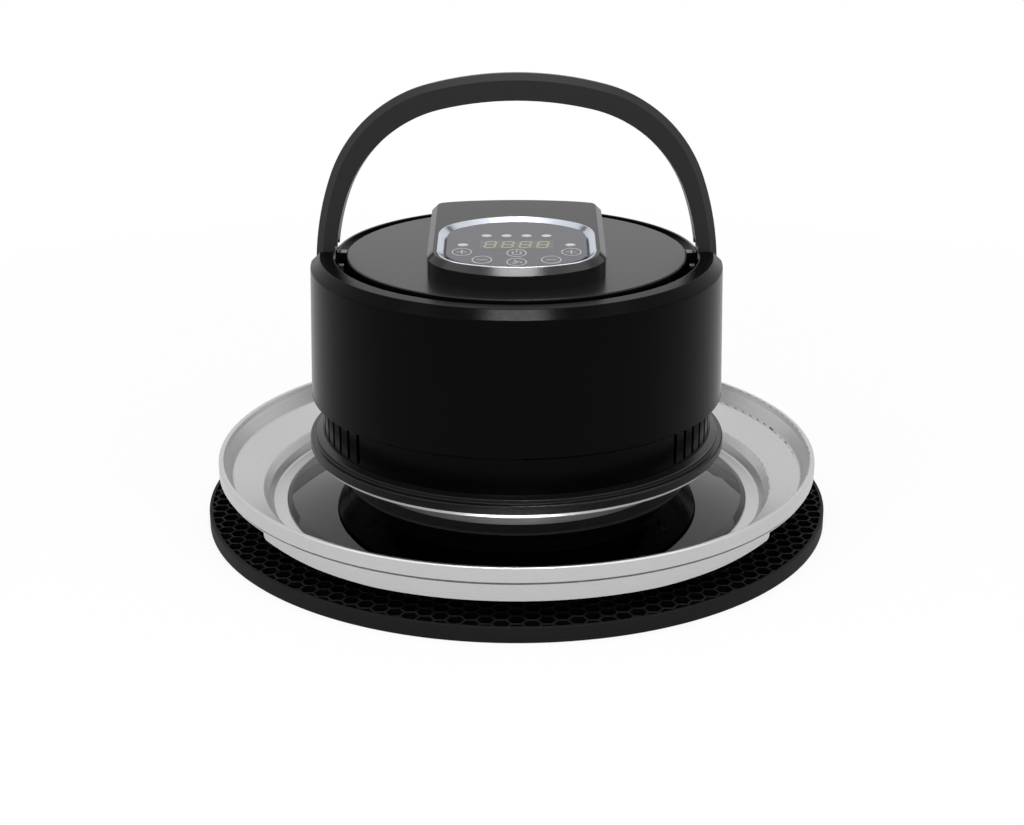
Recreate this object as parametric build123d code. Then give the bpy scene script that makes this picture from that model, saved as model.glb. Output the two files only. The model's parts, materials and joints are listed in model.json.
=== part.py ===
"""Air-frying lid set: a heater and fan head with a folding bail handle, standing in a stainless and
glass adapter lid on a silicone honeycomb mat. Millimetres, +Z up, origin at the centre of the mat's
underside. Mat, adapter lid and head share the vertical axis X = Y = 0; the front is -Y."""
import os
from math import atan, atan2, cos, degrees, hypot, radians, sin, sqrt, tan
from typing import NamedTuple

from build123d import *

# ---------------------------------------------------------------- driving dimensions
# Mat and adapter lid
MAT_RADIUS = 187.5
MAT_THICKNESS = 9.0
MAT_FLOOR = 1.4                # silicone left under the mat's pockets
MAT_BORDER = 2.4               # plain border round the pockets, and the ribs between them
POCKET_PITCH = 37.4            # each pocket stands for a patch of cells a quarter of this size
POCKET_LEAST = 0.25            # share of a whole pocket that one at the border must have
SHEET = 0.8                    # stainless sheet of the adapter lid
RIM_RADIUS = 180.5             # outside of the adapter's rolled rim
RIM_TOP = 40.0
LIP_FOOT = 31.5                # lower edge of the bead that is rolled over at the rim
SKIRT_BOTTOM = 20.0            # lower edge of the adapter's outer skirt
SKIRT_END = 109.7              # the skirt ends this far in front of the middle, and behind it
SKIRT_SWEEP = [(168.0, 19.5), (140.0, 21.5, 80.0), (SKIRT_END, 25.2, 2.5)]  # lower edge, from the side
GLASS_RADIUS = 140.6
GLASS_THICKNESS = 3.2
GLASS_ANGLE = 19.0             # degrees that the glass cone rises towards the middle
GLASS_BEVEL = 3.1              # width of the ground bevel round the glass
GLASS_HOLE = 100.6
COLLAR_INNER = 96.2            # the opening that the head's heater shroud drops into
COLLAR_SEAT = 104.5

# Head, from the bottom up
BASE_Z = 44.0                  # underside of the base plate, which seats on a pot's rim
BASE_RADIUS = 122.9
PLATE = 2.0
SEAT_INNER = 115.5             # a flat seat for the pot's rim stands proud under the plate's edge
SEAT_DROP = 0.4
FLANGE_RADIUS = 125.0
FLANGE_Z = 51.0
VENT_RADIUS = 117.2            # outside of the slotted skirt under the drum
VENT_WALL = 2.2
VENT_PITCH = 4.95              # degrees from one vent slot to the next
VENT_SLOT = 2.8                # width of a slot
VENT_ARC = 40.0                # the slots reach this far each side of the X axis
DRUM_BOTTOM = 77.2
DRUM_BOTTOM_RADIUS = 123.2
DRUM_SHOULDER = 155.6          # foot of the chamfer round the front rim
DRUM_TOP_RADIUS = 121.2
WALL = 2.5
RIM_FLAT_RADIUS = 115.8
RIM_FLAT_Z = 160.9
SLOT_OUTER = 107.2             # the air intake slot runs round the front half of the top
LIP_RADIUS = 106.8             # the lip that carries the slot's edge on round the back
LIP_TOP = 161.3
SHELF_TOP = 157.5
DISC_RADIUS = 99.8
DISC_TOP = 161.2
DISC_THICKNESS = 2.5
LEDGE_Z = 139.3                # the folded handle lies on this ledge behind the lip
FRAME_Z = 131.0                # underside of the spider frame that carries the top
FRAME_HEIGHT = 5.0
POST_CIRCLE = 88.0
TRAY_SCREW_CIRCLE = 79.8
TRAY_RADIUS = 82.8
GLAND_Z = 98.0
GLAND_BORE = 3.6

# Control pod
POD_HALF_WIDTH = 50.5
POD_BACK = 35.0
POD_FRONT = -79.9
POD_FRONT_RADIUS = 78.0
POD_BACK_RADIUS = 220.0
POD_REAR_CORNER = 8.0
POD_NOSE_CORNER = 24.0
POD_BEVEL = 3.4
POD_FRONT_TOP = 172.5          # height of the sloping top at its front edge
POD_BACK_TOP = 185.1
POD_WALL = 2.5
PANEL_HALF_WIDTH = 45.0
PANEL_BACK = 3.4
PANEL_BACK_RADIUS = 62.7
PANEL_FRONT = -76.0
PANEL_FRONT_RADIUS = 85.0
PANEL_CORNER = 22.0
PANEL_RECESS = 1.25
PANEL_GLASS = 1.6              # from the panel's face down to the parts under it
DISPLAY_Y = -38.2
TRIM_WIDTH = 5.0

# Bail handle
HINGE_Y = 10.5
HINGE_Z = 150.0
BAIL_LEAN = 8.0                # degrees behind upright at rest
BAIL_DEPTH = 20.0
BAIL_CHAMFER = 4.2
LEG_INSIDE = 107.3             # the legs' feet are thinned to here to pass the rear lip
RELIEF_RADIUS = 16.0
PIN_RADIUS = 4.0
BUSH_RADIUS = 5.5
RUNNING = 0.05                 # radial clearance of the pins, the shaft and the plunger

# Heater, motor, fans and safety switch
ELEMENT_TUBE = 3.2             # radius of the heating element's tube
ELEMENT_HEIGHT = 24.0
PROBE_Y = 70.0
SHAFT_RADIUS = 3.0
MOTOR_POST_CIRCLE = 41.0
CAM_BASE = 7.5
CAM_RISE = 1.6                 # millimetres for each radian of the handle's turn
CAM_X = 86.0
BLOCK_X = 92.0                 # inner face of the hinge blocks
PLUNGER_RADIUS = 2.0


class Arch(NamedTuple):
    """One edge of the bail: leg, shoulder and top arcs that are tangent to each other."""
    foot: float                # distance of its foot from the middle
    leg: float
    shoulder: float
    top: float
    height: float              # its middle above the hinge line


BAIL_OUTSIDE = Arch(foot=118.8, leg=163.3, shoulder=82.5, top=207.9, height=113.2)
BAIL_INSIDE = Arch(foot=106.8, leg=128.8, shoulder=77.0, top=197.8, height=97.3)

PARTS = {}


def keep(name, *shapes):
    """Puts the shapes' solids in the node of that name."""
    solids = [solid for shape in shapes for solid in shape.solids()]
    PARTS[name] = solids[0] if len(solids) == 1 else Compound(children=solids)


def outline(points, plane=Plane.XZ):
    """A face from corners (x, y) or (x, y, fillet radius)."""
    corners = [point[:2] for point in points]
    radii = [point[2] if len(point) > 2 else 0 for point in points]
    if any(radii):
        return make_face(plane * FilletPolyline(*corners, radius=radii, close=True))
    return make_face(plane * Polyline(*corners, close=True))


def turned(points, arc=360.0, start=0.0):
    """A solid turned about Z from corners (radius, height), over arc degrees from start."""
    return Rot(0, 0, start) * revolve(outline(points), Axis.Z, arc)


def ring(inner, outer, bottom, top, arc=360.0, start=0.0):
    """A flat ring, or a disc where inner is 0."""
    return turned([(inner, bottom), (outer, bottom), (outer, top), (inner, top)], arc, start)


def rod(x, y, bottom, top, radius):
    """An upright round rod."""
    return Pos(x, y, bottom) * Cylinder(radius, top - bottom, align=(Align.CENTER, Align.CENTER, Align.MIN))


def cross_rod(low, high, y, z, radius):
    """A round rod along X."""
    return Pos((low + high) / 2, y, z) * Rot(0, 90, 0) * Cylinder(radius, high - low)


def block(x, y, z):
    """A box from its (low, high) pair on each axis."""
    pairs = (x, y, z)
    size = [high - low for low, high in pairs]
    centre = [(high + low) / 2 for low, high in pairs]
    return Pos(*centre) * Box(*size)


def around(shape, count, start=0.0):
    """Copies of the shape, evenly spaced about Z."""
    return [Rot(0, 0, start + 360.0 * k / count) * shape for k in range(count)]


def rods(circle, radius, bottom, top, count, start=0.0):
    """Upright rods, evenly spaced on a circle."""
    return around(rod(circle, 0, bottom, top, radius), count, start)


def joined(first, others):
    """The first shape with the others fused to it."""
    for other in others:
        first = first + other
    return first


def cut(first, others):
    """The first shape with the others taken out of it."""
    for other in others:
        first = first - other
    return first


def unit(vector):
    """The vector (x, y) at length one."""
    length = sqrt(vector[0] ** 2 + vector[1] ** 2)
    return vector[0] / length, vector[1] / length


def sheet(points, thickness):
    """Outline of a bent sheet that lies to the right of a line through points (r, z, bend radius)."""
    walls = [unit((b[0] - a[0], b[1] - a[1])) for a, b in zip(points, points[1:])]
    under = []
    for index, point in enumerate(points):
        before = walls[max(index - 1, 0)]
        after = walls[min(index, len(walls) - 1)]
        turn = before[0] * after[1] - before[1] * after[0]
        share = thickness / (1 + before[0] * after[0] + before[1] * after[1])
        r = point[0] + (before[1] + after[1]) * share
        z = point[1] - (before[0] + after[0]) * share
        bend = point[2] if len(point) > 2 else 0
        if bend:
            bend = max(bend + (thickness if turn > 0 else -thickness), 0.15)
        under.append((r, z, bend))
    return [tuple(point) for point in points] + under[::-1]


def drum_radius(z):
    """Outside radius of the drum's tapered wall at height z."""
    taper = (DRUM_BOTTOM_RADIUS - DRUM_TOP_RADIUS) / (DRUM_SHOULDER - DRUM_BOTTOM)
    return DRUM_BOTTOM_RADIUS - (z - DRUM_BOTTOM) * taper


def glass_top(radius):
    """Height of the glass cone's upper face at a radius."""
    shoulder = GLASS_RADIUS - GLASS_BEVEL
    return MAT_THICKNESS + 4.2 + (shoulder - radius) * tan(radians(GLASS_ANGLE))


# ---------------------------------------------------------------- mat and adapter lid
def honeycomb(radius):
    """Hexagons with their points along X, trimmed to a circle of the given radius."""
    column = POCKET_PITCH * sqrt(3) / 2
    cell = RegularPolygon((POCKET_PITCH - MAT_BORDER) / sqrt(3), 6)
    circle = Circle(radius)
    reach = int(radius / column) + 1
    cells = []
    for across in range(-reach, reach + 1):
        shift = POCKET_PITCH / 2 if across % 2 else 0.0
        for along in range(-reach, reach + 1):
            x, y = across * column, along * POCKET_PITCH + shift
            if hypot(x, y) > radius + POCKET_PITCH:
                continue
            trimmed = Pos(x, y) * cell & circle
            if trimmed and trimmed.area > POCKET_LEAST * cell.area:
                cells.append(trimmed)
    return cells


def make_mat():
    """Round silicone mat with softened edges and a honeycomb of pockets sunk into its top."""
    corners = [(0, 0), (MAT_RADIUS, 0, 0.3), (MAT_RADIUS, MAT_THICKNESS, 0.7), (0, MAT_THICKNESS)]
    pockets = [Pos(0, 0, MAT_FLOOR) * extrude(cell, MAT_THICKNESS)
               for cell in honeycomb(MAT_RADIUS - MAT_BORDER)]
    keep("silicone_mat", turned(corners) - pockets)


def make_adapter():
    """Stepped stainless dish with a rolled rim, a glass cone and a steel collar in its middle."""
    seat = MAT_THICKNESS + SHEET
    rim_inside = RIM_RADIUS - 3.9
    dish = [(131.0, seat), (148.8, seat, 1.2), (151.0, 15.2, 1.6), (154.4, 19.6, 2.5), (172.6, 28.4, 3.0)]
    rim = [(rim_inside, 37.0, 1.0), (rim_inside + 1.0, RIM_TOP, 1.0), (RIM_RADIUS, RIM_TOP, 1.4)]
    skirt = [(RIM_RADIUS, LIP_FOOT, 1.0), (178.9, LIP_FOOT - 1.6, 1.0), (178.4, SKIRT_BOTTOM)]
    gap_top = LIP_FOOT - 2.4
    behind = SKIRT_SWEEP + [(SKIRT_END, gap_top)]
    ahead = [(-point[0], *point[1:]) for point in behind[::-1]]
    gap = extrude(outline(behind + ahead, Plane.YZ), RIM_RADIUS, both=True)
    gap = gap & ring(rim_inside, RIM_RADIUS, SKIRT_BOTTOM - 1.0, gap_top)
    keep("adapter_ring", turned(sheet(dish + rim + skirt, SHEET)) - gap)

    shoulder = GLASS_RADIUS - GLASS_BEVEL
    bottom = seat + 0.2
    glass = [(GLASS_RADIUS, bottom), (GLASS_RADIUS, bottom + 0.9, 0.4), (shoulder, glass_top(shoulder), 0.8)]
    glass += [(GLASS_HOLE, glass_top(GLASS_HOLE)), (GLASS_HOLE, glass_top(GLASS_HOLE) - GLASS_THICKNESS)]
    glass += [(shoulder, glass_top(shoulder) - GLASS_THICKNESS)]
    keep("glass_dome", turned(glass))
    keep("glass_gasket", ring(132.0, GLASS_RADIUS - 0.4, seat, bottom))

    wall = COLLAR_INNER + 1.6
    foot = glass_top(COLLAR_SEAT - 0.5) - GLASS_THICKNESS - 0.3
    upper = [(wall, glass_top(wall) + 0.2), (COLLAR_SEAT, glass_top(COLLAR_SEAT) + 0.2)]
    upper += [(COLLAR_SEAT, glass_top(COLLAR_SEAT) + 1.6), (wall, glass_top(wall) + 1.6)]
    keep("collar_gasket", turned(upper), ring(wall, GLASS_HOLE - 0.2, foot - 1.0, glass_top(wall) + 0.2))

    seat_height = BASE_Z
    rise = [(wall, foot - 2.2), (wall, seat_height - 1.2), (COLLAR_SEAT, seat_height - 1.2)]
    inner = [(COLLAR_SEAT, seat_height), (COLLAR_INNER, seat_height, 1.5), (COLLAR_INNER, foot - 3.4)]
    lower = [(COLLAR_SEAT, foot - 3.4), (COLLAR_SEAT, foot - 2.2)]
    keep("centre_collar", turned(rise + inner + lower))


# ---------------------------------------------------------------- head: base and heater
def make_base():
    """Polished base plate, moulded flange ring, slotted vent skirt and their screws."""
    top = BASE_Z + PLATE
    screw_circle = 111.2
    plate = ring(9.0, BASE_RADIUS, BASE_Z, top)
    holes = rods(screw_circle, 2.0, BASE_Z, top, 6, 30)
    terminals = [rod(x, y, BASE_Z, top, ELEMENT_TUBE + 0.6) for x, y in element_ends(element_path())]
    probe = [rod(0, PROBE_Y, BASE_Z, top, 2.2)]
    seat = ring(SEAT_INNER, BASE_RADIUS, BASE_Z - SEAT_DROP, BASE_Z)
    keep("base_plate", cut(plate + seat, holes + terminals + probe))

    steps = [(FLANGE_RADIUS, top), (FLANGE_RADIUS, FLANGE_Z, 0.9), (121.4, FLANGE_Z, 0.5)]
    steps += [(121.2, 53.1, 0.6), (VENT_RADIUS, 54.6), (VENT_RADIUS, 48.0), (106.4, 48.0), (106.4, top)]
    flange = turned(steps)
    keep("flange_ring", cut(flange, rods(screw_circle, 2.0, top, 48.0, 6, 30)))

    inside = VENT_RADIUS - VENT_WALL
    skirt_top = DRUM_BOTTOM + 4.8
    skirt = turned([(VENT_RADIUS, 48.0), (VENT_RADIUS, skirt_top - 2.0), (120.2, skirt_top - 2.0),
                    (120.2, skirt_top), (inside, skirt_top), (inside, 48.0)])
    slot = block((inside - 2, VENT_RADIUS + 2), (-VENT_SLOT / 2, VENT_SLOT / 2), (56.4, 77.0))
    count = int(VENT_ARC / VENT_PITCH)
    angles = [side + k * VENT_PITCH for side in (0, 180) for k in range(-count, count + 1)]
    skirt = cut(skirt, [Rot(0, 0, angle) * slot for angle in angles])
    boss = rod(screw_circle, 0, 48.0, 57.0, 4.2) - rod(screw_circle, 0, 48.0, 57.0, 1.8)
    keep("vent_skirt", joined(skirt, around(boss, 6, 30)))
    screw = rod(screw_circle, 0, BASE_Z - 1.5, BASE_Z, 3.6) + rod(screw_circle, 0, BASE_Z, 56.0, 1.8)
    keep("base_screws", *around(screw, 6, 30))


def element_path():
    """Centre line of the heating element: an outer turn that steps in to an inner turn."""
    outer = CenterArc((0, 0), 76.0, 8.0, 330.0)
    inner = CenterArc((0, 0), 62.0, 5.0, 340.0)
    link = Spline([outer @ 1, inner @ 0], tangents=[outer % 1, inner % 0])
    return Pos(0, 0, ELEMENT_HEIGHT) * (Curve() + [outer, link, inner])


def element_ends(path):
    """Plan positions (x, y) of the element's two ends, where its legs rise through the base plate."""
    return [(point.X, point.Y) for point in (path @ 0, path @ 1)]


def make_heater():
    """Shroud, two-turn element, brackets, guard, insulation and sensors round the hot-air fan."""
    foot = 15.0
    shroud = [(84.0, BASE_Z), (93.6, BASE_Z, 1.6), (93.6, foot, 1.4), (87.0, foot)]
    keep("heater_shroud", turned(sheet(shroud, 1.0)))
    low, high = foot + 1.1, foot + 2.6
    bars = [ring(inner, inner + 3.0, low, high) for inner in range(10, 71, 12)]
    rim = ring(82.0, 92.0, low, high)
    spoke = block((11.0, 84.0), (-1.6, 1.6), (low, high))
    keep("element_guard", joined(rim, bars + around(spoke, 8)))

    path = element_path()
    ends = element_ends(path)
    element = sweep(Plane(path @ 0, z_dir=path % 0) * Circle(ELEMENT_TUBE), path=path)
    legs = [rod(x, y, ELEMENT_HEIGHT, BASE_Z + 10.0, ELEMENT_TUBE - 0.3) for x, y in ends]
    keep("heater_element", joined(element, legs))

    arm_top = ELEMENT_HEIGHT - ELEMENT_TUBE - 0.05
    arm = block((57.0, 83.5), (-4.0, 4.0), (arm_top - 1.2, arm_top))
    strap = block((82.0, 83.5), (-4.0, 4.0), (arm_top, BASE_Z))
    keep("element_brackets", *around(arm + strap, 3, 45))

    insulation = ring(12.0, 92.0, BASE_Z + PLATE, BASE_Z + PLATE + 3.0)
    clear = rods(MOTOR_POST_CIRCLE, 4.2, BASE_Z, 52.0, 4, 45)
    clear += [rod(x, y, BASE_Z, 52.0, 4.6) for x, y in ends] + [rod(0, PROBE_Y, BASE_Z, 52.0, 5.2)]
    keep("insulation_disc", cut(insulation, clear))
    beads = [rod(x, y, 46.0, 51.5, 4.4) - rod(x, y, 46.0, 51.5, ELEMENT_TUBE - 0.2) for x, y in ends]
    keep("element_seals", *beads)
    keep("temperature_probe", rod(0, PROBE_Y, 30.0, 50.0, 2.0) + rod(0, PROBE_Y, 46.0, 52.0, 4.8))
    can = rod(-38.0, 62.0, 49.0, 55.0, 8.0) + block((-50.0, -26.0), (58.0, 66.0), (49.0, 50.0))
    keep("thermal_cutout", can + block((-40.5, -35.5), (56.0, 68.0), (54.5, 59.0)))


def make_motor():
    """Induction motor on four posts, with the hot-air impeller below it and the cooling fan above."""
    deck = BASE_Z + PLATE
    lower = 62.0
    upper = 98.0
    posts = rods(MOTOR_POST_CIRCLE, 4.0, deck, lower, 4, 45)
    ties = rods(MOTOR_POST_CIRCLE, 3.0, lower + 2.0, upper, 4, 45)
    keep("motor_posts", *posts, *ties)
    keep("motor_lower_plate", ring(8.0, 48.0, lower, lower + 2.0))
    keep("motor_upper_plate", ring(8.0, 48.0, upper, upper + 2.0))
    race = SHAFT_RADIUS + RUNNING
    bearing = [(race, -3.5), (8.0, -3.5), (8.0, 3.5), (race, 3.5)]
    keep("motor_bearings", Pos(0, 0, lower + 1.0) * turned(bearing), Pos(0, 0, upper + 1.0) * turned(bearing))

    core = ring(22.5, 36.0, 71.0, 91.0)
    notch = block((33.5, 37.0), (-2.0, 2.0), (70.0, 92.0))
    keep("motor_stator", cut(core, around(notch, 12)))
    coil = [(24.5, -2.5, 1.5), (33.0, -2.5, 1.5), (33.0, 2.5, 1.5), (24.5, 2.5, 1.5)]
    keep("motor_windings", Pos(0, 0, 68.5) * turned(coil), Pos(0, 0, 93.5) * turned(coil))

    keep("motor_shaft", rod(0, 0, 24.0, 124.0, SHAFT_RADIUS))
    keep("motor_rotor", ring(SHAFT_RADIUS, 21.9, 72.0, 90.0))
    hub = ring(SHAFT_RADIUS, 9.0, 30.0, 41.2) + ring(8.0, 52.0, 40.0, 41.2)
    blade = Pos(32.0, 0, 34.5) * Rot(0, 0, 18) * Box(38.0, 1.2, 12.0)
    keep("hot_air_fan", joined(hub, around(blade, 10)))
    keep("fan_nut", cut(Pos(0, 0, 27.4) * extrude(RegularPolygon(6.0, 6), 2.6, both=True),
                        [rod(0, 0, 20.0, 35.0, SHAFT_RADIUS)]))
    hub = ring(SHAFT_RADIUS, 9.0, 106.5, 121.0) + ring(8.0, 62.0, 106.5, 107.7)
    blade = Pos(38.0, 0, 114.0) * Rot(0, 0, -20) * Box(44.0, 1.4, 13.0)
    keep("cooling_fan", joined(hub, around(blade, 12)))


# ---------------------------------------------------------------- head: drum and top
def make_drum():
    """Tapered drum with the raised rim round its front half, cut down to the handle ledge behind."""
    inside = [(drum_radius(z) - WALL, z) for z in (DRUM_BOTTOM, 82.0, 84.5, 128.5, FRAME_Z, 153.4)]
    profile = [(DRUM_BOTTOM_RADIUS, DRUM_BOTTOM, 1.4), (DRUM_TOP_RADIUS, DRUM_SHOULDER, 1.6)]
    profile += [(RIM_FLAT_RADIUS, RIM_FLAT_Z, 0.9), (SLOT_OUTER, RIM_FLAT_Z, 0.6), (SLOT_OUTER, 145.0)]
    profile += [(SLOT_OUTER + 2.0, 145.0), (SLOT_OUTER + 2.0, 157.5), (114.8, 157.5), inside[5], inside[4]]
    profile += [(114.0, FRAME_Z), (114.0, 128.5), inside[3], inside[2], (114.0, 84.5), (114.0, 82.0)]
    profile += [inside[1], inside[0]]
    shell = turned(profile)
    behind = block((-130.0, 130.0), (0.0, 130.0), (LEDGE_Z, 170.0))
    shell = shell - behind
    filling = ring(SLOT_OUTER + 1.0, drum_radius(LEDGE_Z) - 1.5, LEDGE_Z - 3.0, RIM_FLAT_Z - 1.5)
    bevel = turned([(114.0, 160.0), (125.0, 150.8), (125.0, 162.0), (114.0, 162.0)])
    ends = (filling - bevel) & block((-130.0, 130.0), (-2.2, 0.0), (LEDGE_Z - 2.5, 170.0))
    shell = joined(shell, ends.solids())
    gland = Pos(0, 120.0, GLAND_Z) * Rot(90, 0, 0) * Cylinder(7.2, 20.0)
    keep("drum_shell", shell - gland)

    bush = Pos(0, 116.0, GLAND_Z) * Rot(90, 0, 0) * Cylinder(7.0, 18.0)
    lips = [Pos(0, y, GLAND_Z) * Rot(90, 0, 0) * Cylinder(9.5, 2.0) for y in (124.0, 118.0)]
    hole = Pos(0, 116.0, GLAND_Z) * Rot(90, 0, 0) * Cylinder(GLAND_BORE, 40.0)
    keep("cord_gland", joined(bush, lips) - hole)


def make_top():
    """Rear deck with its lip, spider frame, intake grille and the round top disc."""
    lip_inside = LIP_RADIUS - 1.4
    lip = turned([(LIP_RADIUS, LEDGE_Z - 1.0), (LIP_RADIUS, LIP_TOP, 0.4), (lip_inside, LIP_TOP, 0.4),
                  (lip_inside, LEDGE_Z - 1.0)], 180)
    shelf = ring(DISC_RADIUS + 0.6, lip_inside + 0.5, SHELF_TOP - 1.5, SHELF_TOP, 180)
    ledge = ring(lip_inside, drum_radius(LEDGE_Z) - WALL - 0.2, FRAME_Z + FRAME_HEIGHT, LEDGE_Z, 180)
    half = ring(DISC_RADIUS + 0.6, LIP_RADIUS, SHELF_TOP - 1.5, LIP_TOP - 0.8, 180)
    stops = half & block((-130.0, 130.0), (0.0, 7.0), (100.0, 170.0))
    deck = joined(lip, [shelf, ledge] + list(stops.solids()))
    pin_hole = cross_rod(-112.0, 112.0, HINGE_Y, HINGE_Z, PIN_RADIUS + 0.6)
    keep("rear_deck", deck - pin_hole)

    top = FRAME_Z + FRAME_HEIGHT
    frame = ring(114.3, drum_radius(FRAME_Z) - WALL - 0.5, FRAME_Z, top)
    frame = frame + ring(77.0, 92.0, FRAME_Z, top)
    spoke = block((90.0, 116.0), (-3.0, 3.0), (FRAME_Z, top))
    posts = rods(POST_CIRCLE, 3.6, top, DISC_TOP - DISC_THICKNESS, 6, 30)
    screw_holes = rods(TRAY_SCREW_CIRCLE, 1.5, FRAME_Z, top, 6, 30)
    switch_gap = block((CAM_X - 7.0, 95.0), (HINGE_Y - 9.0, HINGE_Y + 9.0), (FRAME_Z - 1.0, top + 1.0))
    keep("top_frame", cut(joined(frame, around(spoke, 6, 30) + posts), screw_holes + [switch_gap]))

    grille = ring(92.4, 109.0, 143.4, 145.0, 178, 181)
    slot = block((98.0, 106.0), (-1.5, 1.5), (140.0, 150.0))
    keep("intake_grille", cut(grille, [Rot(0, 0, angle) * slot for angle in range(190, 351, 4)]))

    disc = turned([(0, DISC_TOP - DISC_THICKNESS), (DISC_RADIUS, DISC_TOP - DISC_THICKNESS),
                   (DISC_RADIUS, DISC_TOP, 0.7), (0, DISC_TOP)])
    wire_hole = rod(0, -10.0, DISC_TOP - 5.0, DISC_TOP + 1.0, 8.0)
    keep("top_disc", disc - wire_hole)


def make_electronics():
    """Board tray, power board and wiring inside the drum."""
    top = FRAME_Z + FRAME_HEIGHT
    holes = rods(TRAY_SCREW_CIRCLE, 1.5, top, top + 2.0, 6, 30)
    keep("board_tray", cut(ring(0, TRAY_RADIUS, top, top + 2.0), holes))
    screw = rod(TRAY_SCREW_CIRCLE, 0, FRAME_Z, top + 2.0, 1.5)
    screw = screw + rod(TRAY_SCREW_CIRCLE, 0, top + 2.0, top + 3.6, 2.9)
    keep("tray_screws", *around(screw, 6, 30))

    board = top + 6.0
    standoffs = [rod(x, y, top + 2.0, board, 3.0) for x in (-45.0, 45.0) for y in (-30.0, 30.0)]
    keep("board_standoffs", *standoffs)
    keep("power_board", block((-50.0, 50.0), (-35.0, 35.0), (board, board + 1.6)))
    face = board + 1.6
    relay = block((-44.0, -26.0), (-24.0, 4.0), (face, face + 12.0))
    choke = block((-16.0, 10.0), (-28.0, -8.0), (face, face + 13.0))
    terminals = block((-36.0, 20.0), (24.0, 33.0), (face, face + 9.0))
    tall = [rod(x, y, face, face + 12.5, 5.0) for x, y in ((20.0, -20.0), (33.0, -20.0), (26.0, 2.0))]
    keep("power_components", relay, choke, terminals, *tall)

    cable = [(0, 104.0, GLAND_Z), (0, 97.5, GLAND_Z), (-14.0, 97.5, 108.0), (-27.0, 96.0, 122.0)]
    cable += [(-30.0, 94.5, 139.0), (-27.0, 80.0, 150.0), (-22.0, 60.0, 152.0), (-18.0, 42.0, 148.0)]
    path = FilletPolyline(*cable, radius=[2.5, 6, 6, 8, 6, 8])
    section = Plane(origin=path @ 0, z_dir=path % 0) * Circle(2.6)
    keep("wiring_loom", sweep(section, path))


# ---------------------------------------------------------------- head: control pod
POD_SLOPE = atan((POD_BACK_TOP - POD_FRONT_TOP) / (POD_BACK - POD_FRONT - POD_BEVEL))
POD_FACE = Plane(origin=(0, POD_FRONT + POD_BEVEL, POD_FRONT_TOP), x_dir=(1, 0, 0),
                 z_dir=(0, -sin(POD_SLOPE), cos(POD_SLOPE)))


def bowed_outline(half_width, back, back_radius, front, front_radius, corner):
    """A face with straight sides between a bowed back and a bowed front."""
    back_side = back - back_radius + sqrt(back_radius ** 2 - half_width ** 2)
    front_side = front + front_radius - sqrt(front_radius ** 2 - half_width ** 2)
    rear = ThreePointArc((half_width, back_side), (0, back), (-half_width, back_side))
    left = Line((-half_width, back_side), (-half_width, front_side))
    nose = ThreePointArc((-half_width, front_side), (0, front), (half_width, front_side))
    right = Line((half_width, front_side), (half_width, back_side))
    face = make_face([rear, left, nose, right])
    rear_corners = face.vertices().sort_by(Axis.Y)[2:]
    face = fillet(rear_corners, corner[0])
    nose_corners = [v for v in face.vertices() if abs(v.Y - front_side) < 0.01]
    return fillet(nose_corners, corner[1])


def pod_block(inset, top_inset, bottom):
    """The pod's body set in by inset from its outside, up to top_inset under the sloping top."""
    base = bowed_outline(POD_HALF_WIDTH - inset, POD_BACK - inset, POD_BACK_RADIUS, POD_FRONT + inset,
                         POD_FRONT_RADIUS - inset, (POD_REAR_CORNER - inset, POD_NOSE_CORNER - inset))
    body = Pos(0, 0, bottom) * extrude(base, 40.0)
    plane = POD_FACE.offset(-top_inset)
    return split(body, plane, keep=Keep.BOTTOM)


def panel_outline(inset):
    """Outline of the control panel on the sloping face, set in by inset."""
    origin = POD_FRONT + POD_BEVEL
    back = (PANEL_BACK - origin) / cos(POD_SLOPE) - inset
    front = (PANEL_FRONT - origin) / cos(POD_SLOPE) + inset
    return bowed_outline(PANEL_HALF_WIDTH - inset, back, PANEL_BACK_RADIUS - inset, front,
                         PANEL_FRONT_RADIUS - inset, (PANEL_CORNER - inset, PANEL_CORNER - inset))


def on_pod(face, low, high):
    """The face raised square to the sloping top, from low to high over that top."""
    return POD_FACE.offset(low) * extrude(face, high - low)


def pod_disc(x, y, radius, low, high):
    """A round disc on the sloping top at (x, y) in plan."""
    along = (y - POD_FRONT - POD_BEVEL) / cos(POD_SLOPE)
    return on_pod(Pos(x, along, 0) * Circle(radius), low, high)


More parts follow.
